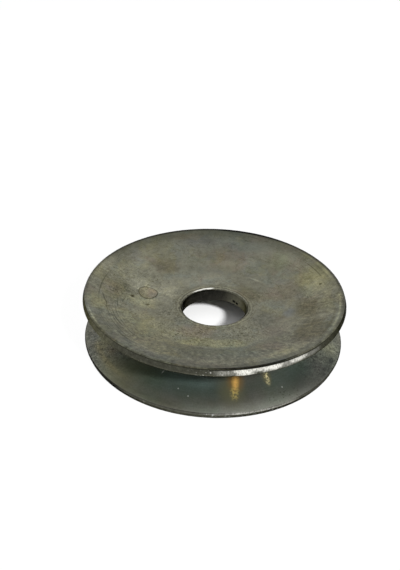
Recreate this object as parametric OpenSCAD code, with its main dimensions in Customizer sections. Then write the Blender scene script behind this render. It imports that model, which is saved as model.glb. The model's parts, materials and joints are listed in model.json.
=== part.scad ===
/* [Sheet] */
// Outside diameter of both rims
rim_d = 68; // [58:0.5:110]
// Diameter of the hole for the shaft
bore_d = 17; // [10:0.5:22]
// Thickness of the pressed steel sheet
sheet_t = 2; // [1.2:0.1:3]

/* [Belt groove] */
// Width of the groove at its mouth, for a 10 mm V-belt
groove_w = 11; // [8:0.1:12]
// Angle between the two flanks of the groove
groove_angle = 40; // [36:1:42]
// Inside radius of the bend between web and flank
bend_r = 5; // [1:0.5:6]

/* [Edges] */
// Rounding of the two edges of each rim
rim_edge_r = 0.5; // [0.1:0.05:0.55]
// Chamfer at each mouth of the bore
bore_chamfer = 0.45; // [0.2:0.05:0.8]

/* [Press mark] */
// Outside diameter of the ring that the ejector pin left
mark_d = 5.4; // [3:0.1:8]
// Distance from the pulley axis to the middle of the ring
mark_offset = 18.5; // [14:0.1:22]
// Place of the ring around the axis, in degrees
mark_angle = 165; // [0:1:360]
// Width of the ring's line
mark_line_w = 0.25; // [0.15:0.05:0.5]
// Depth of the ring's line below the dished face
mark_depth = 0.15; // [0.05:0.05:0.4]

/* [Hidden] */
$fn = 180;
rim_r = rim_d / 2;
bore_r = bore_d / 2;
// Slope of a flank, from the plane between the two halves
flank_angle = groove_angle / 2;
// Directions of the outward normals of the faces, in the plane of the profile
web_back = -90;
flank_back = flank_angle - 90;
rim_out = flank_angle;
flank_front = flank_angle + 90;
// What a rounding takes off a square corner that leans with the flank, outwards and upwards alike
rounding_loss = rim_edge_r * (cos(flank_angle) + sin(flank_angle) - 1);
// Each rounding is struck this much oversize, so that it crosses its faces instead of grazing them
rounding_slack = 0.002;
// Corners of the sheet's edge before they are rounded; the edge is square to the flank
mouth_corner = [rim_r + rounding_loss, groove_w / 2];
top_corner = mouth_corner + sheet_t * direction(flank_front);
// Middles of the two rim roundings
mouth_edge = mouth_corner - rim_edge_r * (direction(rim_out) + direction(flank_back));
top_edge = top_corner - rim_edge_r * (direction(rim_out) + direction(flank_front));
// Height of one half, from the plane between the halves to the top of its rim
half_h = top_corner[1] - rounding_loss;
// Where the flank's two faces would meet the web's two faces without a bend
root_r = mouth_corner[0] - groove_w / 2 / tan(flank_angle);
dish_r = root_r - sheet_t * tan(flank_angle / 2);
// Both faces of the bend turn about one point above the web
bend_outer_r = bend_r + sheet_t;
bend_centre = [root_r - bend_outer_r * tan(flank_angle / 2), bend_outer_r];

function direction(angle) = [cos(angle), sin(angle)];

// Slice of the plane between two directions, out to the given reach
module sector(centre, from_angle, to_angle, reach) {
    middle_angle = (from_angle + to_angle) / 2;
    polygon([
        centre,
        centre + reach * direction(from_angle),
        centre + reach * direction(middle_angle),
        centre + reach * direction(to_angle)
    ]);
}

// What lies outside a round corner, between the normals of its two faces
module outside_round(centre, from_angle, to_angle, radius) {
    difference() {
        sector(centre, from_angle, to_angle, 2 * radius);
        translate(centre) circle(radius + rounding_slack);
    }
}

// Radial section of the sheet with every corner sharp but the bore's chamfer
module sharp_section() {
    polygon([
        [bore_r, 0],
        [root_r, 0],
        mouth_corner,
        top_corner,
        [dish_r, sheet_t],
        [bore_r + bore_chamfer, sheet_t],
        [bore_r, sheet_t - bore_chamfer]
    ]);
}

// Filling of the inside of the bend, on the dished face
module bend_filling() {
    difference() {
        sector(bend_centre, web_back, flank_back, bend_r + sheet_t / 2);
        translate(bend_centre) circle(bend_r + rounding_slack);
    }
}

// Radial section of the pressed sheet
module sheet_section() {
    difference() {
        union() {
            sharp_section();
            bend_filling();
        }
        outside_round(bend_centre, web_back, flank_back, bend_outer_r);
        outside_round(top_edge, rim_out, flank_front, rim_edge_r);
        outside_round(mouth_edge, flank_back, rim_out, rim_edge_r);
    }
}

// One dished disc, its web lying on the plane between the halves
module pressed_half() {
    rotate_extrude() sheet_section();
}

// Thin upright tube where the ejector pin met the dished face
module mark_tube() {
    rotate(mark_angle) translate([mark_offset, 0, sheet_t / 2]) difference() {
        cylinder(h = half_h, d = mark_d);
        translate([0, 0, -half_h]) cylinder(h = 3 * half_h, d = mark_d - 2 * mark_line_w);
    }
}

// Half with the open dish that faces the nut, with the ring of the ejector pin
module front_half() {
    color([0.46, 0.45, 0.39]) difference() {
        pressed_half();
        difference() {
            mark_tube();
            translate([0, 0, -mark_depth]) pressed_half();
        }
    }
}

// Half that faces the alternator, the same pressing turned over
module rear_half() {
    color([0.42, 0.42, 0.37]) mirror([0, 0, 1]) pressed_half();
}

front_half();
rear_half();
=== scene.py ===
import json
import math

import bmesh
import bpy
from mathutils import Matrix, Vector


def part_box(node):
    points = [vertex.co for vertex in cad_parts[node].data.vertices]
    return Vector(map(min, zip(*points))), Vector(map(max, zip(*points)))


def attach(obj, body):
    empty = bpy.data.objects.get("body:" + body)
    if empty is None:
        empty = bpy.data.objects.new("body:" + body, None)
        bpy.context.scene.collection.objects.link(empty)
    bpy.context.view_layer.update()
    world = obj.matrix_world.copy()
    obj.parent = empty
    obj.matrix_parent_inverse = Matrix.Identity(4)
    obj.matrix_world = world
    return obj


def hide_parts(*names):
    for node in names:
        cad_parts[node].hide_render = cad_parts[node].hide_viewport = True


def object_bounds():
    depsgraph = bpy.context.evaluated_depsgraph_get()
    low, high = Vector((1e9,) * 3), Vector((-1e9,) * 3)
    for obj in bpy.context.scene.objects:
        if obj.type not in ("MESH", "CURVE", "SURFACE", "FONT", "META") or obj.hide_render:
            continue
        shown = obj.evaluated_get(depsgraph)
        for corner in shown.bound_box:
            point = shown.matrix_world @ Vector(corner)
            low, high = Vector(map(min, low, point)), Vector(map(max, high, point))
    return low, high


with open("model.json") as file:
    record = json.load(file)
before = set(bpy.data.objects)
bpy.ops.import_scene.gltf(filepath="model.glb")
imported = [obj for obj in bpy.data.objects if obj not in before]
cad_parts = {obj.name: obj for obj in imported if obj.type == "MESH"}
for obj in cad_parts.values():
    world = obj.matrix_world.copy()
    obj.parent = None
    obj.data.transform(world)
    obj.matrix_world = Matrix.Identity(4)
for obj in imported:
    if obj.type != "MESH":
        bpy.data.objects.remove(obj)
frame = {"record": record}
cad_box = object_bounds()

# Sizes of the pulley, in metres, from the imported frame
MM = 0.001
MOUNTS = {mount["name"]: mount for mount in frame["record"]["mounts"]}
RIM_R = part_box("front_half")[1].x
TOP_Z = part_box("front_half")[1].z
BORE_R = MOUNTS["bore"]["dims"]["r_mm"] * MM
SHEET_T = MOUNTS["nut_face"]["pos_m"][2]
FLOOR_Z = cad_box[0][2]

# Sizes of the pressing that the frame does not state
FLANK_ANGLE = math.radians(20)
BEND_R = 5.0 * MM
RIM_EDGE_R = 0.5 * MM
BORE_CHAMFER = 0.45 * MM
SEAM_BREAK = 0.02 * MM

# What follows from them: the section of one half, in the XZ plane
RIM_OUT = Vector((math.cos(FLANK_ANGLE), 0, math.sin(FLANK_ANGLE)))
DISH_UP = Vector((-math.sin(FLANK_ANGLE), 0, math.cos(FLANK_ANGLE)))
ROUNDING_LOSS = RIM_EDGE_R * (math.cos(FLANK_ANGLE) + math.sin(FLANK_ANGLE) - 1)
TOP_CORNER = Vector((RIM_R + ROUNDING_LOSS, 0, TOP_Z + ROUNDING_LOSS)) + SHEET_T * Vector((DISH_UP.x, 0, 0))
MOUTH_CORNER = TOP_CORNER - SHEET_T * DISH_UP
TOP_EDGE = TOP_CORNER - RIM_EDGE_R * (RIM_OUT + DISH_UP)
MOUTH_EDGE = MOUTH_CORNER - RIM_EDGE_R * (RIM_OUT - DISH_UP)
ROOT_R = MOUTH_CORNER.x - MOUTH_CORNER.z / math.tan(FLANK_ANGLE)
BEND_OUTER_R = BEND_R + SHEET_T
BEND_CENTRE = Vector((ROOT_R - BEND_OUTER_R * math.tan(FLANK_ANGLE / 2), 0, BEND_OUTER_R))

# The photograph's camera: it looks at a point of the axis, near the height of the upper rim
IMAGE_W, IMAGE_H = 400, 570
VIEW_ELEVATION = math.radians(32.256)
VIEW_ROLL = math.radians(2.451)
VIEW_DISTANCE = 202.89 * MM
VIEW_POINT_Z = 7.2 * MM
VIEW_POINT_PX = (215.15, 289.20)
FOCAL_PX = 783.4
SENSOR_MM = 36.0

# Places of the finishes in each half's list of materials
WEB, FLANK, RIM, GROOVE, BORE = range(5)

# Radius, in mm, where the finish of the dish's floor meets that of its flank
WEB_R = 22.0
WEB_ZONE = (0.0, WEB_R)
FLANK_ZONE = (WEB_R, 40.0)

# Mesh of a half: steps round the axis, welding distance, and angles that tell its edges and faces apart
TURNS = 640
WELD = 0.001 * MM
EDGE_TILT = math.radians(35)
SMOOTH_ANGLE = math.radians(35)

# Marks in the front dish: the ejector pin's ring and sunk face, and two dents beside it
MARK_PLACE = Vector((-17.87, 4.79, 2.0)) * MM
MARK_R = 2.7 * MM
MARK_LINE = 0.3 * MM
MARK_DEPTH = 0.09 * MM
MARK_MARGIN = 0.6 * MM
MARK_CUTS = 3
PIN_SINK = 0.25
DINGS = [(-21.7 * MM, 1.5 * MM, 0.45 * MM, 0.35 * MM), (-17.5 * MM, -0.7 * MM, 0.4 * MM, 0.3 * MM)]
DING_DEPTH = 0.22 * MM
DING_EDGE = 0.02

# Stretch of the flank beside the bend that is drawn in short steps, since the ring crosses it
MARK_ROOM = 2.0 * MM

# Wear of the sheet edge and of the bore's mouth: depth and size of the knocks, and how far in they reach
RIM_KNOCK, RIM_KNOCK_SIZE = 0.03 * MM, 1.1 * MM
RIM_WORN, RIM_WORN_FADE = 1.1 * MM, 0.4 * MM
BORE_KNOCK, BORE_KNOCK_SIZE = 0.06 * MM, 0.9 * MM
BORE_WORN = 0.8 * BORE_CHAMFER

# Floor: radii where the paper turns white for the camera and for the metal, its two tones, the darker one
# under the pulley being painted shade, and its glow
FLOOR_SIZE = 4.0
FLOOR_CLEAR = (29 * MM, 33 * MM)
FLOOR_MIRRORED = (36 * MM, 75 * MM)
FLOOR_PAINTED_SHADE, FLOOR_OPEN = 0.64, 0.9
FLOOR_GLOW = 0.97

# Light: an even dome, and one lamp at the right front
DOME = 0.95
KEY_AZIMUTH, KEY_ELEVATION = math.radians(32), math.radians(38.5)
KEY_DISTANCE, KEY_SIZE, KEY_POWER = 0.7, 0.08, 10.0


def start_point(name, place):
    """A new mesh object of one selected vertex, left in edit mode."""
    bpy.ops.object.select_all(action="DESELECT")
    bpy.ops.mesh.primitive_plane_add(size=MM)
    piece = bpy.context.object
    piece.name = piece.data.name = name
    bpy.ops.object.mode_set(mode="EDIT")
    bpy.ops.mesh.select_mode(type="VERT")
    bpy.ops.mesh.select_all(action="SELECT")
    bpy.ops.mesh.merge(type="CENTER")
    bpy.ops.transform.translate(value=place)
    return piece


def pen():
    """The place of the one selected vertex."""
    mesh = bmesh.from_edit_mesh(bpy.context.object.data)
    return next(v.co.copy() for v in mesh.verts if v.select)


def line_to(place, steps=1):
    """Draws the section on to a place, in equal steps."""
    step = (Vector(place) - pen()) / steps
    for _ in range(steps):
        bpy.ops.mesh.extrude_region_move(TRANSFORM_OT_translate={"value": step})


def arc_about(centre, angle, steps):
    """Draws the section on round a centre, from +X towards +Z for a positive angle."""
    bpy.ops.mesh.spin(steps=steps, angle=angle, center=centre, axis=(0, 1, 0))


def draw_section():
    """Outline of the pressed sheet, from the seam in the bore to the rim and back."""
    bend_end = BEND_CENTRE - BEND_R * DISH_UP
    line_to((BORE_R, 0, SEAM_BREAK))
    line_to((BORE_R, 0, SHEET_T - BORE_CHAMFER), 6)
    line_to((BORE_R + BORE_CHAMFER, 0, SHEET_T), 3)
    line_to((BEND_CENTRE.x, 0, SHEET_T), 30)
    arc_about(BEND_CENTRE, FLANK_ANGLE, 8)
    line_to(bend_end + MARK_ROOM * RIM_OUT, 6)
    line_to(TOP_EDGE + RIM_EDGE_R * DISH_UP, 18)
    arc_about(TOP_EDGE, -math.pi / 2, 6)
    line_to(MOUTH_EDGE + RIM_EDGE_R * RIM_OUT, 5)
    arc_about(MOUTH_EDGE, -math.pi / 2, 6)
    line_to(BEND_CENTRE - BEND_OUTER_R * DISH_UP, 12)
    arc_about(BEND_CENTRE, -FLANK_ANGLE, 5)
    line_to((BORE_R + SEAM_BREAK, 0, 0), 3)


def turn_half(name, upward):
    """One dished disc: its section is drawn, turned once round the axis and closed."""
    piece = start_point(name, (BORE_R + SEAM_BREAK, 0, 0))
    draw_section()
    if not upward:
        bpy.ops.mesh.select_all(action="SELECT")
        bpy.ops.transform.resize(value=(1, 1, -1), center_override=(0, 0, 0))
    bpy.ops.object.mode_set(mode="OBJECT")
    lathe = piece.modifiers.new("lathe", "SCREW")
    lathe.axis = "Z"
    lathe.angle = math.tau
    lathe.steps = lathe.render_steps = TURNS
    lathe.use_merge_vertices = True
    lathe.merge_threshold = WELD
    bpy.ops.object.modifier_apply(modifier=lathe.name)
    bpy.ops.object.mode_set(mode="EDIT")
    bpy.ops.mesh.select_all(action="SELECT")
    bpy.ops.mesh.remove_doubles(threshold=WELD)
    bpy.ops.mesh.normals_make_consistent(inside=False)
    bpy.ops.object.mode_set(mode="OBJECT")
    return piece


def finish_of(place, normal, upward):
    """Which finish a face of a half has, by its place and the way it faces."""
    radius = math.hypot(place.x, place.y)
    outward = (place.x * normal.x + place.y * normal.y) / radius
    rise = normal.z if upward else -normal.z
    if radius < BORE_R + BORE_CHAMFER:
        return BORE
    if outward > math.cos(FLANK_ANGLE + EDGE_TILT):
        return RIM
    if rise < 0:
        return GROOVE
    return WEB if radius < WEB_R * MM else FLANK


def plate(piece, upward, finishes):
    """Gives each face of a half its finish."""
    for material in finishes:
        piece.data.materials.append(material)
    for face in piece.data.polygons:
        face.material_index = finish_of(face.center, face.normal, upward)


def refine(piece, is_near, cuts):
    """Splits the faces of a part of the surface, so that a small mark has room in the mesh."""
    bpy.context.view_layer.objects.active = piece
    bpy.ops.object.mode_set(mode="EDIT")
    bpy.ops.mesh.select_mode(type="FACE")
    bpy.ops.mesh.select_all(action="DESELECT")
    mesh = bmesh.from_edit_mesh(piece.data)
    for face in mesh.faces:
        face.select_set(is_near(face.calc_center_median()))
    bmesh.update_edit_mesh(piece.data)
    bpy.ops.mesh.subdivide(number_cuts=cuts)
    bpy.ops.object.mode_set(mode="OBJECT")


def press_in(piece, name, depth, weight_at, cloud_size=None):
    """Sinks the surface by up to a depth, by a weight for each place, evenly or in a cloudy pattern."""
    group = piece.vertex_groups.new(name=name)
    for vertex in piece.data.vertices:
        weight = weight_at(vertex.co)
        if weight > 0.005:
            group.add([vertex.index], weight, "REPLACE")
    sink = piece.modifiers.new(name, "DISPLACE")
    sink.vertex_group = group.name
    sink.mid_level = 0.0
    sink.strength = -depth
    if cloud_size:
        sink.texture = bpy.data.textures.new(name, "CLOUDS")
        sink.texture.noise_scale = cloud_size
        sink.texture.noise_depth = 2
        sink.texture.contrast = 1.5
        sink.texture.use_clamp = True
        sink.texture_coords = "LOCAL"
    bpy.context.view_layer.objects.active = piece
    bpy.ops.object.modifier_apply(modifier=sink.name)
    piece.vertex_groups.clear()


def mark_distance(place):
    """Distance from the middle of the ejector pin's ring, for places on the front dish."""
    return math.hypot(place.x - MARK_PLACE.x, place.y - MARK_PLACE.y)


def on_front_dish(place):
    """True on the dished face of the front half, false on its groove side."""
    along = math.hypot(place.x, place.y) - ROOT_R
    return place.z > SHEET_T / 2 + max(0.0, along * math.tan(FLANK_ANGLE))


def ring_weight(place):
    """The ring's line, deepest along its middle, and the pin's face a little sunk inside it."""
    if not on_front_dish(place):
        return 0.0
    distance = mark_distance(place)
    line = math.exp(-((distance - MARK_R + MARK_LINE / 2) / (MARK_LINE / 2)) ** 2)
    return max(line, PIN_SINK if distance < MARK_R - MARK_LINE / 2 else 0.0)


def ding_weight(place):
    """The two small dents beside the ring."""
    if not on_front_dish(place):
        return 0.0
    return max(math.exp(-(((place.x - x) / along) ** 2 + ((place.y - y) / across) ** 2))
               for x, y, along, across in DINGS)


def rim_weight(place):
    """The edge of the sheet, where it has been knocked."""
    radius = math.hypot(place.x, place.y)
    return min(1.0, max(0.0, (radius - RIM_R + RIM_WORN) / RIM_WORN_FADE))


def bore_mouth_weight(place):
    """The broken edge of the bore on the dished side."""
    sideways = math.hypot(place.x, place.y) - BORE_R - BORE_CHAMFER / 2
    upwards = abs(place.z) - SHEET_T + BORE_CHAMFER / 2
    if abs(upwards) >= BORE_CHAMFER:
        return 0.0
    return max(0.0, 1 - abs(sideways) / BORE_WORN)


def near_ring(place):
    """True where the ring needs a finer mesh."""
    return on_front_dish(place) and mark_distance(place) < MARK_R + MARK_MARGIN


def in_ding(place):
    """True where the dents need a finer mesh."""
    return ding_weight(place) > DING_EDGE


def mark_front_half(piece):
    """The ejector pin's ring and the dents beside it, in the front half's dish."""
    refine(piece, near_ring, MARK_CUTS)
    refine(piece, in_ding, MARK_CUTS)
    press_in(piece, "pin_ring", MARK_DEPTH, ring_weight)
    press_in(piece, "dings", DING_DEPTH, ding_weight)


def wear_edges(piece):
    """Small knocks along the rim and round the mouth of the bore."""
    press_in(piece, "rim_knocks", RIM_KNOCK, rim_weight, RIM_KNOCK_SIZE)
    press_in(piece, "bore_knocks", BORE_KNOCK, bore_mouth_weight, BORE_KNOCK_SIZE)
    bpy.ops.object.select_all(action="DESELECT")
    piece.select_set(True)
    bpy.ops.object.shade_smooth_by_angle(angle=SMOOTH_ANGLE)


def add(tree, kind, sockets=None, **settings):
    """A new shader node: a socket's value is a number, a colour or another node's output."""
    made = tree.nodes.new(kind)
    for name, value in settings.items():
        setattr(made, name, value)
    for name, value in (sockets or {}).items():
        if isinstance(value, bpy.types.NodeSocket):
            tree.links.new(value, made.inputs[name])
        else:
            made.inputs[name].default_value = value
    return made


# Radii, in mm, at which drawn-out noise has its stated detail: in the dish as a whole, and on its flank
MEAN_R = 25
FLANK_R = 30


class Finish:
    """A metal finish made of shader nodes: each method adds one or two and returns what they give."""

    def __init__(self, name):
        self.material = bpy.data.materials.new(name)
        self.material.use_nodes = True
        self.tree = self.material.node_tree
        self.shader = self.tree.nodes["Principled BSDF"]
        self.shader.inputs["Metallic"].default_value = 1.0
        metres = add(self.tree, "ShaderNodeTexCoord").outputs["Object"]
        self.place = self.combined("SCALE", metres, 1 / MM)
        axes = self.axes = add(self.tree, "ShaderNodeSeparateXYZ", {0: self.place}).outputs
        self.radius = self.math("SQRT", self.math("ADD", self.math("MULTIPLY", axes[0], axes[0]),
                                                  self.math("MULTIPLY", axes[1], axes[1])))
        turn = self.math("ARCTAN2", axes[0], self.math("MULTIPLY", axes[1], -1.0))
        self.azimuth = self.math("MULTIPLY", turn, math.degrees(1))
        self.height = axes[2]
        self.polar = self.vector(self.azimuth, self.radius, self.height)
        self.folded = self.vector(self.math("ABSOLUTE", self.azimuth), self.radius, self.height)

    def vector(self, *numbers):
        """A place made of its numbers."""
        return add(self.tree, "ShaderNodeCombineXYZ", dict(enumerate(numbers))).outputs[0]

    def combined(self, operation, first, second=None):
        """One operation on places: with a number it scales, with another place it works part by part."""
        name = "Scale" if operation == "SCALE" else 1
        sockets = {0: first} if second is None else {0: first, name: second}
        return add(self.tree, "ShaderNodeVectorMath", sockets, operation=operation).outputs[0]

    def math(self, operation, first, second=0.0):
        """One sum, product or other operation on two numbers."""
        return add(self.tree, "ShaderNodeMath", {0: first, 1: second}, operation=operation).outputs[0]

    def times(self, first, second):
        """The product of two numbers."""
        return self.math("MULTIPLY", first, second)

    def step(self, value, low, high, to_low=0.0, to_high=1.0):
        """A soft step: one value below low and another above high."""
        return add(self.tree, "ShaderNodeMapRange", {"Value": value, "From Min": low, "From Max": high,
                                                     "To Min": to_low, "To Max": to_high},
                   interpolation_type="SMOOTHSTEP").outputs["Result"]

    def noise(self, per_mm, detail=3.0, roughness=0.55, where=None, shift=(0, 0, 0), output="Fac"):
        """Cloudy noise about one half, by its detail per mm."""
        place = self.combined("ADD", where or self.place, shift)
        return add(self.tree, "ShaderNodeTexNoise", {"Vector": place, "Scale": per_mm, "Detail": detail,
                                                     "Roughness": roughness}).outputs[output]

    def warped(self, reach, per_mm, shift=(0, 0, 0)):
        """The place on the pulley, moved about by up to about the reach."""
        drift = self.noise(per_mm, 3.0, shift=shift, output="Color")
        drift = self.combined("SCALE", self.combined("SUBTRACT", drift, (0.5, 0.5, 0.5)), 4 * reach)
        return self.combined("ADD", self.place, drift)

    def upright(self):
        """The place on the pulley, squeezed so that noise on it runs along the axis."""
        return self.combined("MULTIPLY", self.place, (1, 1, 0.3))

    def rings(self, across, along, shift=0.0):
        """Noise drawn out round the axis, as by sliding: detail across it and along it, per mm."""
        way = self.combined("NORMALIZE", self.combined("MULTIPLY", self.place, (1, 1, 0)))
        way = self.combined("SCALE", way, along * MEAN_R)
        lift = self.vector(0.0, 0.0, self.times(self.radius, across))
        return self.noise(1.0, 3.0, where=self.combined("ADD", way, lift), shift=(shift, 0, 0))

    def spot(self, where, middle, reach, turn=0.0, soft=0.5):
        """1 inside an ellipse, falling to 0 over its soft edge; a third number is the height."""
        near = add(self.tree, "ShaderNodeMapping", {"Vector": where, "Location": (*middle, 0.0)[:3],
                                                    "Rotation": (0, 0, math.radians(turn)),
                                                    "Scale": (*reach, 1e4)[:3]},
                   vector_type="TEXTURE").outputs[0]
        away = add(self.tree, "ShaderNodeVectorMath", {0: near}, operation="LENGTH").outputs["Value"]
        return self.step(away, 1 + soft * 0.5, 1 - soft)

    def spots(self, where, places, soft):
        """The greatest of several unturned spots."""
        most = self.spot(where, *places[0], 0, soft)
        for middle, reach in places[1:]:
            most = self.math("MAXIMUM", most, self.spot(where, middle, reach, 0, soft))
        return most

    def band(self, value, middle, reach):
        """1 where a value is the middle one, falling to 0 at the reach on both sides."""
        return self.step(self.math("ABSOLUTE", self.math("SUBTRACT", value, middle)), reach, 0.0)

    def unrolled(self, along, across):
        """The dished face rolled out flat: detail along the rim and across it, per mm near the rim."""
        way = self.times(self.azimuth, along * math.radians(FLANK_R))
        return self.vector(way, self.times(self.radius, across))

    def drawn_out(self, turn, across, along, shift):
        """Noise drawn out in one direction: detail across it and along it, per mm."""
        where = add(self.tree, "ShaderNodeMapping", {"Vector": self.place,
                                                     "Rotation": (0, 0, math.radians(turn)),
                                                     "Scale": (1 / along, 1 / across, 1e4)},
                    vector_type="TEXTURE").outputs[0]
        return self.noise(1.0, 2.0, 0.5, where, (shift[0] + turn, shift[1], 0))

    def mixed(self, under, amount, over, blend="MIX"):
        """One colour laid over another by an amount."""
        colours = {0: amount, 6: under, 7: over if isinstance(over, bpy.types.NodeSocket) else (*over, 1)}
        if not isinstance(under, bpy.types.NodeSocket):
            colours[6] = (*under, 1)
        return add(self.tree, "ShaderNodeMix", colours, data_type="RGBA", blend_type=blend).outputs[2]

    def tinted(self, under, amount, tint):
        """A colour multiplied by a tint, by an amount."""
        return self.mixed(under, amount, tint, "MULTIPLY")

    def stained(self, colour, where, stains):
        """A colour with a set of blotches: middle, reach, turn, softness and tint of each."""
        for middle, reach, turn, soft, tint in stains:
            colour = self.tinted(colour, self.spot(where, middle, reach, turn, soft), tint)
        return colour

    def toned(self, colour, tone):
        """A colour made lighter or darker by a factor."""
        return self.combined("SCALE", colour, tone)

    def varied(self, colour, noise, amount):
        """The colour made lighter and darker by a noise about one half."""
        change = self.times(self.math("SUBTRACT", noise, 0.5), amount)
        return self.toned(colour, self.math("ADD", change, 1.0))

    def close(self, colour, roughness, height, relief):
        """Joins colour, roughness and relief (in metres) to the shader."""
        bump = add(self.tree, "ShaderNodeBump", {"Height": height, "Distance": relief, "Strength": 1.0})
        self.tree.links.new(colour, self.shader.inputs["Base Color"])
        self.tree.links.new(roughness, self.shader.inputs["Roughness"])
        self.tree.links.new(bump.outputs["Normal"], self.shader.inputs["Normal"])
        return self.material


# The film on the dish: its two tones
DISH_FILM = ((0.168, 0.165, 0.121), (0.214, 0.210, 0.157))

# Drifting clouds of colour in that film: shift of their noise, the noise over which they come in, and tint
DISH_CLOUDS = [((31, 7, 0), 0.48, 0.66, (1.06, 1.04, 0.91)),
               ((-17, 43, 0), 0.50, 0.68, (0.93, 0.99, 1.07)),
               ((5, -29, 0), 0.52, 0.70, (1.04, 0.96, 0.99))]

# Blotches on the front dish: middle and reach in mm, turn in degrees, softness of the edge, and tint
DISH_STAINS = {
    "pale_behind_bore": ((-5.0, 13.0), (9.5, 4.2), 12, 0.7, (1.30, 1.31, 1.34)),
    "pale_under_mark": ((-18.6, 0.3), (4.4, 3.2), 0, 0.6, (1.45, 1.45, 1.28)),
    "pale_left_of_bore": ((-13.2, 6.2), (3.8, 5.0), 0, 0.8, (1.42, 1.42, 1.46)),
    "pale_left_back": ((-20.8, 12.0), (6.5, 4.2), 40, 0.8, (1.20, 1.21, 1.22)),
    "brown_left_back": ((-13.7, 17.2), (4.4, 3.0), 20, 0.45, (0.89, 0.85, 0.83)),
    "olive_left": ((-25.2, 1.0), (3.0, 5.6), -5, 0.7, (0.84, 0.85, 0.78)),
    "gold_left_rim": ((-29.4, -6.5), (2.4, 4.5), 20, 0.7, (1.16, 1.14, 0.92)),
    "grey_left_front": ((-24.5, -18.5), (2.8, 7.5), 36, 0.6, (0.74, 0.77, 0.78)),
    "gold_left_front": ((-15.5, -13.0), (5.6, 9.4), 40, 0.9, (1.24, 1.22, 1.05)),
    "straw_left": ((-23.2, -8.4), (3.0, 3.2), 0, 0.8, (1.24, 1.21, 1.07)),
    "pale_above_mark": ((-19.9, 7.4), (3.8, 3.0), -10, 0.8, (1.62, 1.63, 1.68)),
    "pale_left_rim": ((-30.0, 11.0), (1.7, 5.0), -20, 0.8, (1.50, 1.48, 1.48)),
    "pale_left_back_flank": ((-21.2, 18.0), (4.2, 3.2), -45, 0.8, (1.22, 1.23, 1.36)),
    "gold_front_left_rim": ((-13.0, -24.0), (7.0, 3.0), -30, 0.8, (1.12, 1.11, 0.94)),
    "mauve_front": ((-4.3, -11.8), (4.8, 3.2), 0, 0.5, (1.10, 1.02, 1.07)),
    "straw_front": ((0.5, -16.6), (9.4, 2.0), 0, 0.30, (1.20, 1.20, 1.03)),
    "dull_front": ((2.0, -22.3), (12.0, 4.8), 0, 0.5, (0.90, 0.95, 0.97)),
    "cream_right_front": ((16.8, -23.8), (6.5, 2.6), 36, 0.7, (1.28, 1.27, 1.18)),
    "brown_right_front": ((24.0, -13.6), (6.2, 4.4), 60, 0.45, (0.66, 0.62, 0.52)),
    "brown_right": ((24.2, -2.6), (3.6, 6.4), 0, 0.7, (0.66, 0.62, 0.52)),
    "gold_right_back": ((26.6, 9.4), (4.4, 6.4), 20, 0.8, (1.36, 1.34, 1.15)),
    "gold_right": ((29.4, -2.5), (2.4, 5.0), 0, 0.7, (0.98, 0.96, 0.82)),
    "mauve_right": ((19.5, 7.0), (4.5, 5.0), 0, 0.7, (0.96, 0.91, 0.90)),
    "tan_right": ((14.0, 4.5), (3.0, 3.4), 0, 0.8, (1.06, 1.02, 0.96)),
    "blue_right": ((19.5, -1.8), (2.0, 2.2), 0, 0.6, (0.90, 0.95, 1.16)),
    "grey_right_front": ((12.4, -5.0), (3.8, 5.2), 15, 0.7, (0.78, 0.79, 0.83)),
    "mauve_right_front": ((15.0, -10.5), (3.5, 3.0), 0, 0.8, (0.94, 0.89, 0.92)),
    "olive_by_bore": ((9.2, 6.6), (3.0, 4.4), 40, 0.6, (0.76, 0.75, 0.66)),
    "green_right_back": ((17.5, 20.0), (3.0, 4.0), 0, 0.8, (0.98, 1.05, 0.95)),
    "tan_back": ((5.0, 20.5), (8.0, 2.6), 0, 0.8, (1.10, 1.07, 1.03)),
    "grey_back": ((7.0, 27.0), (9.5, 2.8), -14, 0.7, (0.80, 0.84, 0.89)),
    "brown_back": ((1.0, 23.6), (7.0, 1.8), -5, 0.8, (0.98, 0.94, 0.94)),
    "brown_back_rim": ((-9.0, 29.3), (5.5, 1.3), 15, 0.7, (1.05, 0.98, 0.92)),
    "grey_back_left": ((-5.0, 28.2), (6.0, 2.2), 8, 0.8, (0.78, 0.79, 0.87)),
    "straw_right_back": ((22.4, 19.0), (4.6, 3.2), -45, 0.8, (1.20, 1.19, 1.18)),
    "dull_right_front": ((20.0, -17.2), (5.0, 3.6), -45, 0.8, (0.86, 0.87, 0.86)),
    "blue_back": ((-2.0, 26.0), (24, 8.0), 0, 1.0, (0.98, 1.00, 1.06)),
}

# Stretches round the front dish: middle and reach as azimuth from the front (degrees) and radius (mm); the
# black lines along the edge are painted shade
DISH_RINGS = {
    "light_front_ring": ((4.0, 28.9), (38, 1.1), 0, 0.8, (1.15, 1.16, 1.14)),
    "dark_front_ring": ((5.0, 32.2), (70, 1.5), 0, 0.7, (0.64, 0.66, 0.64)),
    # Painted shade: black lines along the edge at the front right and at the back
    "painted_shade_front_edge": ((17.0, 33.15), (20, 0.44), 0, 0.4, (0.16, 0.16, 0.15)),
    "painted_shade_back_line": ((165.0, 33.35), (27, 0.84), 0, 0.4, (0.06, 0.06, 0.06)),
    "light_line_left": ((-64.0, 32.9), (8, 0.35), 0, 0.6, (1.70, 1.70, 1.68)),
    "light_line_right": ((74.0, 32.3), (18, 0.34), 0, 0.7, (1.55, 1.55, 1.45)),
    "light_line_back_right": ((116.0, 32.3), (17, 0.40), 0, 0.7, (1.40, 1.39, 1.32)),
    "light_patch_right": ((89.0, 32.1), (5, 0.9), 0, 0.7, (1.22, 1.20, 1.10)),
    "dark_line_right": ((66.0, 31.2), (13, 0.5), 0, 0.7, (0.66, 0.64, 0.56)),
}
# Painted shade round the back of the dish by the rim, the same on both sides of the back
DISH_BACK_SHADE = {
    "painted_shade_back_ring": ((180.0, 32.2), (84, 2.6), 0, 0.9, (0.56, 0.58, 0.57)),
    "painted_shade_back_edge": ((180.0, 33.7), (112, 1.2), 0, 0.5, (0.16, 0.16, 0.15)),
}

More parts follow.
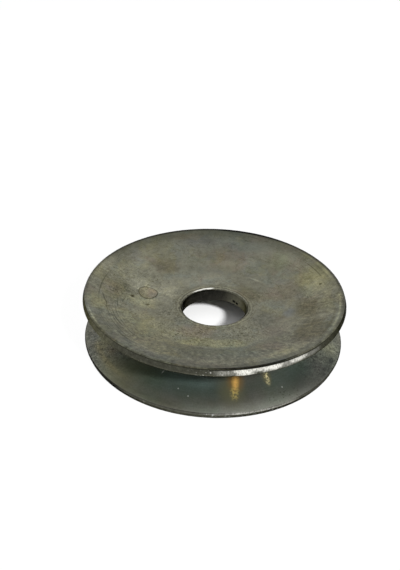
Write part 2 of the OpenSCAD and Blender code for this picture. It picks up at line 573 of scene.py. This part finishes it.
# Rings round the bore: radius and half width in mm, and tint
BORE_RINGS = [(9.20, 0.24, (0.50, 0.49, 0.43)), (9.62, 0.22, (1.24, 1.23, 1.15)),
              (10.15, 0.26, (0.74, 0.73, 0.66)), (10.75, 0.22, (0.86, 0.85, 0.80))]

# Scratches and small dark spots of the front dish, laid out as the blotches are
DISH_SCRATCHES = {
    "light_rub": ((10.9, 14.05), (2.2, 0.42), -32, 0.6, (1.45, 1.45, 1.46)),
    "dark_scratch_left": ((-28.2, -3.8), (3.5, 0.20), -68, 0.6, (0.50, 0.50, 0.46)),
    "arc_scratch_left": ((-23.5, -12.8), (3.2, 0.17), -54, 0.6, (0.55, 0.55, 0.52)),
    "spot_right": ((28.1, 7.2), (0.45, 0.40), 0, 0.6, (0.40, 0.38, 0.32)),
    "ding_left": ((-21.7, 1.5), (0.75, 0.60), 0, 0.7, (0.28, 0.26, 0.20)),
    "ding_right": ((-17.5, -0.7), (0.65, 0.45), 0, 0.7, (0.40, 0.38, 0.32)),
}

# Long thin scratches round the front dish: azimuth and radius of the middle, and reach
DISH_ARCS = [((-66, 26.9), (9, 0.15)), ((-59, 25.9), (7, 0.13)), ((-72, 28.1), (8, 0.13)),
             ((-52, 27.4), (9, 0.14)), ((-44, 29.5), (12, 0.15)), ((-37, 30.6), (10, 0.13)),
             ((-80, 25.2), (6, 0.13)), ((-33, 28.3), (8, 0.13)), ((24, 22.9), (8, 0.15)),
             ((-8, 25.2), (9, 0.16)), ((52, 27.0), (7, 0.13)), ((118, 30.4), (9, 0.14)),
             ((-95, 29.9), (13, 0.14)), ((-62, 27.5), (10, 0.13)), ((-56, 28.4), (8, 0.13)),
             ((-48, 26.2), (9, 0.13))]

# Fields of fine dark pits on the front dish: middle and reach in mm
DISH_PIT_FIELDS = [((-24.6, -0.2), (4.2, 5.2)), ((5.2, -12.6), (5.6, 2.6)), ((11.5, 6.5), (4.0, 5.5)),
                   ((-20.5, -6.0), (4.6, 3.6)), ((-13.5, 11.0), (6.0, 2.2)), ((-16.0, -16.0), (6.0, 3.0))]

# Ways in which fine scratches run over the dish, in degrees
SCRATCH_WAYS = (12, -38, 71)

# How far a blotch counts as reaching when web and flank share them out: a factor, and a margin in mm
ZONE_SPREAD, ZONE_MARGIN = 1.3, 2.0


def in_zone(stains, zone):
    """The blotches that come into the zone between two radii, all in mm."""
    chosen = []
    for stain in stains.values():
        middle, reach = stain[:2]
        radius = math.hypot(*middle)
        spread = ZONE_SPREAD * max(reach) + ZONE_MARGIN
        if zone[0] < radius + spread and radius - spread < zone[1]:
            chosen.append(stain)
    return chosen


def dish_keenness(finish, edged):
    """How sharply the grain shows: most on the near side, less behind and in a patch right of the bore."""
    keen = finish.step(finish.axes[1], 22, -4, 0.30, 1.0)
    cloud = finish.noise(0.09, 2.0, shift=(22, 5, 1))
    keen = finish.times(keen, finish.step(cloud, 0.40, 0.60, 0.65, 1.25))
    smooth_patch = finish.spot(edged, (14, -3), (8, 9), 0, 0.8)
    return finish.times(keen, finish.step(smooth_patch, 0.0, 1.0, 1.0, 0.55))


def veined(finish, colour, edged, shift):
    """Thin, dark, winding borders between the blotches, in some places."""
    vein = finish.band(finish.noise(0.5, 4.0, 0.62, edged, shift), 0.5, 0.030)
    vein = finish.times(vein, finish.step(finish.noise(0.14, 2.0, shift=(50, 9, 3)), 0.46, 0.60))
    return finish.tinted(colour, vein, (0.80, 0.79, 0.74))


def flecked(finish, colour, keen):
    """Small dark flecks and small light ones."""
    fleck = finish.noise(1.25, 2.0, 0.55, shift=(5, 31, 2))
    colour = finish.tinted(colour, finish.times(finish.step(fleck, 0.60, 0.67), keen), (0.74, 0.73, 0.67))
    return finish.tinted(colour, finish.times(finish.step(fleck, 0.40, 0.33), keen), (1.16, 1.16, 1.14))


def flank_rubbed(finish, colour, hairlines, on_flank, shift):
    """Lines and rubbed rings round the flank, most at the left front, and a dull band by the rim."""
    rubbed = finish.rings(2.6, 0.20)
    flank_lines = finish.noise(1.0, 3.0, 0.65, finish.unrolled(0.9, 0.55), shift)
    sideways = finish.math("ABSOLUTE", finish.azimuth)
    lined = finish.times(finish.step(sideways, 130, 90), finish.step(sideways, 40, 75, 2.3, 1.55))
    colour = finish.varied(colour, flank_lines, finish.times(on_flank, lined))
    left_front = finish.spot(finish.polar, (-58, 27.6), (26, 5.4), 0, 0.7)
    rub_zone = finish.math("MAXIMUM", left_front, finish.times(on_flank, 0.35))
    rings = finish.times(finish.step(rubbed, 0.48, 0.66), rub_zone)
    colour = finish.tinted(colour, rings, (0.72, 0.73, 0.72))
    lines = finish.times(finish.step(hairlines, 0.57, 0.66), rub_zone)
    colour = finish.tinted(colour, lines, (0.52, 0.52, 0.48))
    off_left = finish.math("ABSOLUTE", finish.math("ADD", finish.azimuth, 90))
    dull_edge = finish.times(finish.step(finish.radius, 32.6, 33.2), finish.step(off_left, 16, 34))
    return finish.tinted(colour, dull_edge, (0.74, 0.74, 0.72))


def bore_ringed(finish, colour, mottle):
    """Wobbly dark and light rings round the bore."""
    wobbly = finish.math("ADD", finish.radius, finish.step(mottle, 0.3, 0.7, -0.22, 0.22))
    for radius, half_width, tint in BORE_RINGS:
        colour = finish.tinted(colour, finish.band(wobbly, radius, half_width), tint)
    return colour


def scratched(finish, colour, shift):
    """Fine straight scratches, in some places."""
    scratch_zone = finish.step(finish.noise(0.12, 2.0, shift=(3, 70, 8)), 0.42, 0.58, 0.2, 1.0)
    for turn in SCRATCH_WAYS:
        scratch = finish.step(finish.drawn_out(turn, 3.6, 0.30, shift), 0.64, 0.70)
        colour = finish.tinted(colour, finish.times(scratch, scratch_zone), (0.70, 0.69, 0.64))
    return colour


def pin_marked(finish, colour):
    """The ejector pin's dark ring, and its face, pinkish on the right."""
    middle = (MARK_PLACE.x / MM, MARK_PLACE.y / MM)
    inside = finish.spot(finish.place, middle, (MARK_R / MM, MARK_R / MM), 0, 0.08)
    face_r = (MARK_R - MARK_LINE) / MM
    core = finish.spot(finish.place, middle, (face_r, face_r), 0, 0.08)
    colour = finish.tinted(colour, finish.math("SUBTRACT", inside, core), (0.44, 0.42, 0.34))
    colour = finish.tinted(colour, core, (1.02, 0.97, 0.86))
    pink_side = finish.step(finish.axes[0], middle[0] - 0.8, middle[0] + 0.6)
    return finish.tinted(colour, finish.times(core, pink_side), (1.08, 1.01, 1.08))


def dish_finish(name, shift, front, zone):
    """Dull, blotchy yellow passivation on the dished face, with rubbed rings, pits and scratches, and
    painted shade along the rim.
    """
    finish = Finish(name)
    drifted = finish.warped(3.0, 0.13, shift)
    edged = finish.warped(0.8, 0.5, shift)
    tone = finish.noise(0.12, 5.0, 0.62, drifted, shift)
    mottle = finish.noise(0.6, 5.0, 0.70, shift=shift)
    grit = finish.noise(1.6, 3.0, 0.65, shift=shift)
    grain = finish.noise(3.2, 2.0, 0.6, shift=shift)
    keen = dish_keenness(finish, edged)
    colour = finish.mixed(DISH_FILM[0], finish.step(tone, 0.34, 0.68), DISH_FILM[1])
    for place, low, high, tint in DISH_CLOUDS:
        cloud = finish.noise(0.11, 4.0, 0.6, drifted, tuple(a + b for a, b in zip(place, shift)))
        colour = finish.tinted(colour, finish.step(cloud, low, high), tint)
    if front:
        colour = finish.stained(colour, edged, in_zone(DISH_STAINS, zone))
    # Stretches round the rim, among them painted shade along the edge and at the back
    if front and zone == FLANK_ZONE:
        colour = finish.stained(colour, finish.polar, DISH_RINGS.values())
        colour = finish.stained(colour, finish.folded, DISH_BACK_SHADE.values())
    colour = veined(finish, colour, edged, shift)
    colour = finish.varied(colour, mottle, finish.step(finish.axes[1], 26, 8, 0.80, 1.30))
    colour = finish.varied(colour, grit, finish.times(keen, 0.75))
    colour = finish.varied(colour, grain, finish.times(keen, 0.85))
    colour = flecked(finish, colour, keen)

    hairlines = finish.rings(5.5, 0.10, 9.0)
    on_flank = finish.step(finish.radius, 20.5, 23.0)
    colour = flank_rubbed(finish, colour, hairlines, on_flank, shift)
    if zone == WEB_ZONE:
        colour = bore_ringed(finish, colour, mottle)
    colour = scratched(finish, colour, shift)

    pits = finish.step(finish.noise(1.9, 1.0, 0.5, shift=shift), 0.60, 0.67)
    pit_zone = finish.step(finish.noise(0.16, 2.0, 0.5, shift=(12, 9, 0)), 0.50, 0.62, 0.15, 0.7)
    if front:
        pit_zone = finish.math("MAXIMUM", pit_zone, finish.spots(edged, DISH_PIT_FIELDS, 0.8))
    colour = finish.tinted(colour, finish.times(finish.times(pits, pit_zone), keen), (0.42, 0.40, 0.33))
    if front:
        colour = finish.stained(colour, finish.place, in_zone(DISH_SCRATCHES, zone))
    if front and zone == FLANK_ZONE:
        colour = finish.tinted(colour, finish.spots(finish.polar, DISH_ARCS, 0.6), (0.50, 0.50, 0.46))
    if front and zone == WEB_ZONE:
        colour = pin_marked(finish, colour)

    roughness = finish.math("ADD", finish.step(tone, 0.3, 0.7, 0.36, 0.46),
                            finish.step(mottle, 0.3, 0.7, -0.04, 0.04))
    height = finish.math("ADD", finish.times(grit, 0.6), finish.times(mottle, 0.8))
    height = finish.math("SUBTRACT", height, finish.times(pits, 0.5))
    height = finish.math("SUBTRACT", height, finish.times(finish.times(hairlines, on_flank), 0.3))
    return finish.close(colour, roughness, height, 0.02 * MM)


# The film on the belt's flanks: its two tones, and how metallic it still is, since the rest of it is dull
GROOVE_FILM = ((0.114, 0.114, 0.093), (0.127, 0.127, 0.109))
FLANK_METAL = 0.8

# Marks on the lower flank of the groove, laid out by azimuth and radius as the dish's rings are; some are
# painted light and shade, as marked
GROOVE_STAINS = {
    "teal_middle": ((-14, 27.4), (34, 3.4), 0, 0.8, (0.76, 0.97, 0.99)),
    # Painted light: a lighter teal patch below the upper rim
    "teal_painted_light": ((-8, 25.6), (20, 2.2), 0, 1.0, (1.28, 1.42, 1.48)),
    "teal_right": ((42, 27.6), (20, 3.6), 0, 0.8, (0.78, 0.96, 0.96)),
    "dull_right": ((52, 31.2), (19, 4.6), 0, 0.7, (0.52, 0.54, 0.54)),
    "dull_mouth_right": ((61, 32.8), (10, 1.2), 0, 0.8, (0.66, 0.67, 0.66)),
    "dull_centre": ((10, 29.0), (14, 2.2), 0, 0.9, (0.82, 0.86, 0.85)),
    "dark_left": ((-39, 27.0), (17, 2.8), 0, 0.9, (0.86, 0.87, 0.68)),
    "olive_left": ((-50, 31.2), (17, 3.2), 0, 0.9, (1.02, 1.01, 0.78)),
    # Painted shade: the mouth darker on the left
    "painted_shade_mouth_left": ((-36, 33.3), (28, 1.3), 0, 0.8, (0.78, 0.78, 0.68)),
    "gold_left_end": ((-69, 30.2), (6, 2.0), 0, 0.8, (1.10, 1.06, 0.84)),
    "rust_left_end": ((-61, 28.8), (3.0, 1.3), 0, 0.8, (0.98, 0.90, 0.80)),
    "grey_left_end": ((-76, 31.6), (4.0, 1.4), 0, 0.8, (1.16, 1.18, 1.28)),
    # Painted light: the mouth lighter at the right front, where light falls
    "painted_light_mouth": ((17, 33.5), (27, 2.1), 0, 1.0, (1.72, 1.76, 1.78)),
    "dull_middle": ((-22, 30.4), (26, 2.6), 0, 0.9, (0.84, 0.87, 0.84)),
    "pale_right": ((75, 31.0), (5.0, 2.2), 0, 0.8, (1.55, 1.50, 1.36)),
    "dark_spot_right": ((67.6, 32.6), (2.6, 0.8), 0, 0.8, (0.34, 0.36, 0.38)),
    "dark_fleck_right": ((78, 30.0), (2.0, 0.6), 0, 0.8, (0.40, 0.40, 0.40)),
    "brown_streak_left": ((-57, 31.3), (16, 0.8), 0, 0.9, (1.11, 1.04, 0.90)),
    "grey_mouth_left": ((-60, 33.3), (16, 1.0), 0, 0.8, (1.00, 1.04, 1.12)),
    "dull_left_end": ((-95, 30.0), (36, 9.0), 0, 0.5, (0.90, 0.89, 0.79)),
    "dull_right_end": ((98, 30.0), (34, 9.0), 0, 0.5, (0.80, 0.79, 0.70)),
}

# Painted reflections on the lower flank: gold streaks where light glints between the flanks. Middle and
# reach in mm, turn, softness, how broken up, and colour
GOLD_REFLECTION_STREAKS = {
    "yellow_glow": ((4.9, -27.4), (3.2, 4.2), 0, 1.0, 0.0, (0.15, 0.146, 0.084)),
    "brown_halo": ((5.75, -25.0), (1.9, 2.9), 0, 1.0, 0.1, (0.32, 0.18, 0.055)),
    "yellow_tail": ((5.65, -28.2), (1.0, 1.9), 0, 1.0, 0.9, (0.66, 0.52, 0.17)),
    "orange_core": ((5.75, -25.6), (0.85, 2.1), 0, 0.9, 0.2, (1.00, 0.60, 0.17)),
    "gold_glow": ((13.2, -22.8), (1.1, 2.2), 14, 1.0, 0.2, (0.21, 0.19, 0.10)),
    "gold_flecks": ((13.3, -23.1), (0.60, 1.9), 14, 0.9, 1.0, (1.00, 0.90, 0.50)),
}

# Bright specks and a short scratch on the lower flank: azimuth and radius, reach, turn and softness
GROOVE_SPECKS = {
    "left_speck": ((-15.6, 28.7), (0.34, 0.17), 0, 0.5),
    "middle_speck": ((-10.1, 30.1), (0.38, 0.18), 0, 0.5),
    "right_speck": ((34.5, 30.1), (0.36, 0.19), 0, 0.5),
    "left_scratch": ((-27.0, 25.7), (0.35, 0.60), 25, 0.5),
}


def groove_finish(name, shift, lower):
    """Smoother plating on the belt's flanks, with coloured film, painted gold reflection streaks, painted
    light and shade on the lower flank, and specks.
    """
    finish = Finish(name)
    tone = finish.noise(0.20, 4.0, 0.6, finish.warped(2.0, 0.2, shift), shift)
    mottle = finish.noise(0.9, 4.0, 0.65, shift=shift)
    grain = finish.noise(3.0, 2.0, 0.6, shift=shift)
    flecks = finish.step(finish.noise(2.0, 2.0, 0.6, shift=shift), 0.42, 0.60)
    belt_lines = finish.rings(3.2, 0.12, 5.0)
    colour = finish.mixed(GROOVE_FILM[0], finish.step(tone, 0.32, 0.68), GROOVE_FILM[1])
    film = finish.noise(0.09, 3.0, 0.5, shift=(40, 3, 0))
    colour = finish.tinted(colour, finish.step(film, 0.46, 0.64), (0.94, 1.01, 0.98))
    ends = finish.step(finish.math("ABSOLUTE", finish.azimuth), 42, 64, 0.25, 2.5)
    colour = finish.varied(colour, mottle, ends)
    colour = finish.varied(colour, belt_lines, 0.25)
    colour = finish.varied(colour, grain, finish.math("ADD", ends, 0.3))
    roughness = finish.math("ADD", finish.step(tone, 0.3, 0.7, 0.37, 0.41),
                            finish.step(mottle, 0.3, 0.7, -0.02, 0.02))
    pits = finish.step(finish.noise(2.1, 1.0, 0.5, shift=shift), 0.62, 0.70)
    if lower:
        # Blotches, among them painted light and shade
        colour = finish.stained(colour, finish.polar, GROOVE_STAINS.values())
        # Painted reflections: gold streaks where light glints between the flanks
        for middle, reach, turn, soft, broken, reflection_colour in GOLD_REFLECTION_STREAKS.values():
            streak = finish.spot(finish.place, middle, reach, turn, soft)
            streak = finish.times(streak, finish.step(flecks, 0.0, 1.0, 1.0 - broken, 1.0))
            colour = finish.mixed(colour, streak, reflection_colour)
        for middle, reach, turn, soft in GROOVE_SPECKS.values():
            speck = finish.spot(finish.polar, middle, reach, turn, soft)
            colour = finish.mixed(colour, speck, (0.40, 0.41, 0.39))
        right_front = finish.spot(finish.polar, (33, 32.2), (9, 2.4), 0, 0.7)
        pit_zone = finish.math("MAXIMUM", right_front, finish.times(ends, 0.4))
    else:
        pit_zone = finish.step(film, 0.45, 0.6, 0.15, 0.6)
    colour = finish.tinted(colour, finish.times(pits, pit_zone), (0.48, 0.47, 0.42))
    height = finish.math("ADD", finish.times(grain, 0.4), finish.times(belt_lines, 0.5))
    height = finish.math("SUBTRACT", height, finish.times(finish.times(pits, pit_zone), 0.8))
    finish.shader.inputs["Metallic"].default_value = FLANK_METAL
    return finish.close(colour, roughness, height, 0.012 * MM)


# The sheet edge of each half: its film, and by azimuth and reach its bare rubs, specks, roundings and tinted
# stretches. The rubs at the front right are bare metal where the highlight falls, so partly painted
# highlight;
# the darkened roundings are painted shade, and the tinted stretches painted light and shade. A rub also has
# a distance from the middle plane (mm) and a bareness
FRONT_EDGE = {
    "film": (0.052, 0.052, 0.039),
    "rubs_and_highlights": [((5, 6.40), (5, 0.62), 0.24), ((12.5, 6.45), (4.8, 0.85), 1.00), ((18, 6.70), (5, 0.60), 0.85),
             ((24, 6.55), (5.5, 0.75), 1.00), ((30.5, 6.45), (5, 0.70), 0.32), ((36, 6.60), (5, 0.66), 0.72),
             ((42.5, 6.45), (6, 0.58), 0.16), ((152, 6.40), (14, 0.60), 0.60),
             ((-128, 6.50), (10, 0.50), 0.50)],
    "specks": (3, 8, (0.62, 0.62, 0.58)),
    # Painted shade on the top rounding, by azimuth: darkest at the front right and at the back
    "roundings": [(16, 26, (0.16, 0.16, 0.15)), (-38, 46, (0.62, 0.62, 0.60)), (60, 30, (0.60, 0.60, 0.58)),
                  (180, 100, (0.20, 0.20, 0.19)), (-180, 100, (0.20, 0.20, 0.19)),
                  (165, 32, (0.20, 0.20, 0.20))],
    # Painted light on the edge at the left
    "painted_light_and_shade": [(-62, 26, (1.75, 1.72, 1.60))],
}
REAR_EDGE = {
    "film": (0.052, 0.052, 0.042),
    "rubs_and_highlights": [((3, 5.62), (7, 0.26), 0.10), ((13, 5.60), (7, 0.26), 0.40), ((22, 5.60), (7, 0.26), 0.34),
             ((31, 5.60), (8, 0.26), 0.18), ((-100, 6.40), (10, 0.60), 0.50),
             ((128, 6.40), (16, 0.60), 0.60)],
    "specks": (14, 16, (0.30, 0.31, 0.30)),
    # Painted shade on the rounding by the floor, at the front
    "roundings": [(0, 75, (0.40, 0.40, 0.38))],
    # Painted shade on the edge at the front and at the left
    "painted_light_and_shade": [(20, 12, (0.80, 0.80, 0.80)), (-56, 24, (0.40, 0.40, 0.40))],
}
BARE_STEEL = (0.92, 0.91, 0.83)

# What the dark film on the sheet edge and in the bore reflects at a grazing angle
DARK_GRAZING = (0.25, 0.25, 0.24, 1)


def rim_finish(name, shift, edge):
    """Edge of the sheet: dark passivation, rubbed through to bright, hatched metal in ragged stretches,
    partly painted highlight at the front right, with painted shade on roundings and painted light and shade
    on some stretches.
    """
    finish = Finish(name)
    film = edge["film"]
    tone = finish.noise(0.30, 4.0, 0.6, shift=shift)
    ragged = finish.noise(0.8, 4.0, 0.68, shift=shift)
    grain = finish.noise(2.6, 2.0, 0.6, shift=shift)
    hatch = finish.noise(2.9, 3.0, 0.68, finish.upright(), shift)
    away = finish.math("ABSOLUTE", finish.height)
    drift = finish.noise(0.9, 3.0, 0.6, shift=shift, output="Color")
    drift = finish.combined("SUBTRACT", drift, (0.5, 0.5, 0.5))
    drift = finish.combined("MULTIPLY", drift, (7, 0.20, 0))
    where = finish.combined("ADD", finish.vector(finish.azimuth, away), drift)
    colour = finish.mixed(film, tone, tuple(1.25 * part for part in film))
    colour = finish.varied(colour, ragged, 1.4)

    bare_and_highlight = finish.step(finish.math("ADD", tone, finish.times(ragged, 0.5)), 0.96, 1.06, 0.0, 0.12)
    # Bare rubs; those at the front right stand partly for a painted highlight
    for middle, reach, bareness in edge["rubs_and_highlights"]:
        rub_and_highlight = finish.times(finish.spot(where, middle, reach, 0, 0.7), bareness)
        bare_and_highlight = finish.math("MAXIMUM", bare_and_highlight, rub_and_highlight)
    bare_and_highlight = finish.times(bare_and_highlight, finish.step(hatch, 0.34, 0.60, 0.48, 1.16))
    bare_and_highlight = finish.times(bare_and_highlight, finish.step(away, 7.00, 6.88))
    colour = finish.mixed(colour, bare_and_highlight, BARE_STEEL)
    colour = finish.varied(colour, grain, 0.9)

    specks = finish.step(finish.noise(1.9, 1.0, 0.5, shift=(7, 2, 5)), 0.64, 0.70)
    azimuth, reach, speck_colour = edge["specks"]
    sideways = finish.math("ABSOLUTE", finish.math("SUBTRACT", finish.azimuth, azimuth))
    near = finish.times(finish.step(sideways, reach + 4, reach - 4, 0.05, 0.8), finish.step(away, 7.0, 6.7))
    colour = finish.mixed(colour, finish.times(specks, near), speck_colour)
    # Painted shade on the rounding in some stretches
    rounding = finish.step(away, 6.90, 7.02)
    for azimuth, reach, tint in edge["roundings"]:
        stretch = finish.step(finish.band(finish.azimuth, azimuth, reach), 0.0, 0.3)
        colour = finish.tinted(colour, finish.times(rounding, stretch), tint)
    # Painted light and shade on stretches of the edge
    for azimuth, reach, tint in edge["painted_light_and_shade"]:
        stretch = finish.step(finish.band(finish.azimuth, azimuth, reach), 0.0, 0.5)
        colour = finish.tinted(colour, stretch, tint)
    roughness = finish.math("SUBTRACT", finish.step(tone, 0.3, 0.7, 0.36, 0.44), finish.times(bare_and_highlight, 0.08))
    height = finish.math("ADD", finish.times(hatch, 0.5), finish.times(ragged, 0.8))
    finish.shader.inputs["Specular Tint"].default_value = DARK_GRAZING
    return finish.close(colour, roughness, height, 0.03 * MM)


# Bore: film on its wall and on the right of it, and the edge and lip of each half; the rear half's dark edge
# and lip are painted shade
BORE_FILM = ((0.058, 0.057, 0.047), (0.125, 0.121, 0.088))
FRONT_MOUTH = ((0.085, 0.083, 0.062), (0.235, 0.230, 0.178))
REAR_MOUTH_PAINTED_SHADE = ((0.040, 0.040, 0.034), (0.070, 0.069, 0.056))
RUBBED_STEEL = (0.98, 0.97, 0.90)

# Rubbed, bright stretches of the bore's mouth, placed where the highlight falls and so partly painted
# highlight: azimuth, radius and height, their reach and softness
MOUTH_RUBS_AND_HIGHLIGHT = [((-167, 8.85, 1.94), (11, 5, 0.27), 0.35), ((-156, 8.85, 1.80), (20, 5, 0.13), 0.4)]

# Two pits in the wall of the bore: azimuth, radius and height, and their reach
BORE_PITS = [((142.0, 8.5, -0.7), (3.8, 9.0, 0.40)), ((134.6, 8.5, -0.9), (3.4, 9.0, 0.36))]


def bore_finish(name, shift, mouth):
    """Sheared wall of the bore: dark, with drag lines along the axis, and a rubbed edge, partly painted
    highlight.
    """
    finish = Finish(name)
    tone = finish.noise(0.35, 4.0, 0.6, shift=shift)
    drag = finish.noise(1.4, 3.0, 0.6, finish.upright(), shift)
    grain = finish.noise(2.6, 2.0, 0.6, shift=shift)
    right_side = finish.spot(finish.polar, (118, 8.5), (44, 9), 0, 0.8)
    colour = finish.mixed(BORE_FILM[0], right_side, BORE_FILM[1])
    colour = finish.varied(colour, tone, 1.2)
    colour = finish.varied(colour, drag, 0.8)
    colour = finish.varied(colour, grain, 0.6)
    away = finish.math("ABSOLUTE", finish.height)
    shadow_line = finish.spot(finish.polar, (-155, 8.5, 1.42), (48, 9, 0.20), 0, 0.7)
    colour = finish.tinted(colour, shadow_line, (0.22, 0.22, 0.22))
    ragged = finish.math("ADD", away, finish.step(drag, 0.3, 0.7, -0.10, 0.10))
    edge, lip = mouth
    colour = finish.mixed(colour, finish.step(ragged, 1.58, 1.66), edge)
    colour = finish.mixed(colour, finish.step(ragged, 1.74, 1.86), lip)
    # Rubbed bright stretches of the mouth, partly painted highlight
    rubs_and_highlights = [finish.spot(finish.polar, middle, reach, 0, soft) for middle, reach, soft in MOUTH_RUBS_AND_HIGHLIGHT]
    rubbed = finish.times(finish.math("MAXIMUM", *rubs_and_highlights), finish.step(ragged, 1.66, 1.74))
    colour = finish.mixed(colour, rubbed, RUBBED_STEEL)
    for middle, reach in BORE_PITS:
        colour = finish.tinted(colour, finish.spot(finish.polar, middle, reach, 0, 0.35), (0.03, 0.03, 0.03))
    roughness = finish.step(drag, 0.3, 0.7, 0.32, 0.42)
    height = finish.math("ADD", finish.times(drag, 0.7), finish.times(grain, 0.3))
    finish.shader.inputs["Specular Tint"].default_value = DARK_GRAZING
    return finish.close(colour, roughness, height, 0.02 * MM)


def photo_camera():
    """The camera of the photograph."""
    data = bpy.data.cameras.new("photo_camera")
    data.sensor_fit = "VERTICAL"
    data.sensor_height = SENSOR_MM
    data.lens = FOCAL_PX / IMAGE_H * SENSOR_MM
    data.shift_x = (IMAGE_W / 2 - VIEW_POINT_PX[0]) / IMAGE_H
    data.shift_y = (VIEW_POINT_PX[1] - IMAGE_H / 2) / IMAGE_H
    data.clip_start = 1 * MM
    camera = bpy.data.objects.new("photo_camera", data)
    bpy.context.collection.objects.link(camera)
    away = Vector((0, -math.cos(VIEW_ELEVATION), math.sin(VIEW_ELEVATION)))
    camera.location = Vector((0, 0, VIEW_POINT_Z)) + VIEW_DISTANCE * away
    facing = away.to_track_quat("Z", "Y").to_matrix()
    camera.rotation_euler = (facing @ Matrix.Rotation(VIEW_ROLL, 3, "Z")).to_euler()
    bpy.context.scene.camera = camera


def ramp(tree, value, start, end):
    """0 up to the start, 1 from the end on."""
    return add(tree, "ShaderNodeMapRange", {"Value": value, "From Min": start, "From Max": end},
               interpolation_type="SMOOTHSTEP").outputs["Result"]


def paper_floor():
    """White paper: it keeps the shadow under the pulley and in the bore, is painted darker under the pulley
    as shade, and is plain white further out.
    """
    bpy.ops.object.select_all(action="DESELECT")
    bpy.ops.mesh.primitive_plane_add(size=FLOOR_SIZE)
    floor = bpy.context.object
    floor.name = "floor"
    floor.location.z = FLOOR_Z
    material = bpy.data.materials.new("floor_paper")
    material.use_nodes = True
    tree = material.node_tree
    paper = tree.nodes["Principled BSDF"]
    paper.inputs["Roughness"].default_value = 0.9
    paper.inputs["Specular IOR Level"].default_value = 0.1
    reach = add(tree, "ShaderNodeVectorMath", {0: add(tree, "ShaderNodeTexCoord").outputs["Object"]},
                operation="LENGTH").outputs["Value"]
    clear = ramp(tree, reach, *FLOOR_CLEAR)
    # The paper is darker under the pulley: painted shade
    tone = add(tree, "ShaderNodeMapRange", {"Value": clear, "To Min": FLOOR_PAINTED_SHADE, "To Max": FLOOR_OPEN})
    tree.links.new(tone.outputs["Result"], paper.inputs["Base Color"])
    path = add(tree, "ShaderNodeLightPath").outputs
    mirrored = add(tree, "ShaderNodeMath", {0: path["Is Glossy Ray"], 1: path["Is Transmission Ray"]},
                   operation="MAXIMUM").outputs[0]
    seen = add(tree, "ShaderNodeMath", {0: path["Is Camera Ray"], 1: clear}, operation="MULTIPLY").outputs[0]
    seen = add(tree, "ShaderNodeMath", {0: mirrored, 1: ramp(tree, reach, *FLOOR_MIRRORED), 2: seen},
               operation="MULTIPLY_ADD").outputs[0]
    share = add(tree, "ShaderNodeMath", {0: seen, 1: FLOOR_GLOW}, operation="MULTIPLY").outputs[0]
    white = add(tree, "ShaderNodeEmission", {"Color": (1, 1, 1, 1), "Strength": 1.0})
    mixed = add(tree, "ShaderNodeMixShader", {0: share, 1: paper.outputs[0], 2: white.outputs[0]})
    tree.links.new(mixed.outputs[0], tree.nodes["Material Output"].inputs["Surface"])
    floor.data.materials.append(material)


def soft_dome():
    """Even light from all round, and a white backdrop."""
    world = bpy.data.worlds.new("studio")
    bpy.context.scene.world = world
    world.use_nodes = True
    sky = world.node_tree.nodes["Background"]
    sky.inputs["Color"].default_value = (1, 1, 1, 1)
    seen = add(world.node_tree, "ShaderNodeLightPath").outputs["Is Camera Ray"]
    strength = add(world.node_tree, "ShaderNodeMapRange", {"Value": seen, "To Min": DOME, "To Max": 1.0})
    world.node_tree.links.new(strength.outputs["Result"], sky.inputs["Strength"])


def key_lamp():
    """The lamp that throws the bore's shadow and lights the dull film; metal mirrors only dome and floor."""
    light = bpy.data.lights.new("key", "AREA")
    light.energy = KEY_POWER
    light.size = KEY_SIZE
    key = bpy.data.objects.new("key", light)
    bpy.context.collection.objects.link(key)
    key.location = KEY_DISTANCE * Vector((math.sin(KEY_AZIMUTH) * math.cos(KEY_ELEVATION),
                                          -math.cos(KEY_AZIMUTH) * math.cos(KEY_ELEVATION),
                                          math.sin(KEY_ELEVATION)))
    key.rotation_euler = key.location.to_track_quat("Z", "Y").to_euler()
    key.visible_glossy = False
    key.visible_camera = False


front = turn_half("front_half_pressing", True)
plate(front, True, [dish_finish("front_web_passivation", (0, 0, 0), True, WEB_ZONE),
                    dish_finish("front_flank_passivation", (0, 0, 0), True, FLANK_ZONE),
                    rim_finish("front_rim_edge", (0, 0, 0), FRONT_EDGE),
                    groove_finish("upper_flank_plating", (60, 0, 0), False),
                    bore_finish("front_bore_wall", (0, 0, 0), FRONT_MOUTH)])
mark_front_half(front)
wear_edges(front)

rear = turn_half("rear_half_pressing", False)
plate(rear, False, [dish_finish("rear_web_passivation", (83, 21, 0), False, WEB_ZONE),
                    dish_finish("rear_flank_passivation", (83, 21, 0), False, FLANK_ZONE),
                    rim_finish("rear_rim_edge", (0, 40, 0), REAR_EDGE),
                    groove_finish("lower_flank_plating", (0, 0, 0), True),
                    bore_finish("rear_bore_wall", (9, 4, 0), REAR_MOUTH_PAINTED_SHADE)])
wear_edges(rear)

for piece, node in ((front, "front_half"), (rear, "rear_half")):
    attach(piece, "root")
    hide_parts(node)

photo_camera()
paper_floor()
soft_dome()
key_lamp()
bpy.context.scene.view_settings.view_transform = "Standard"
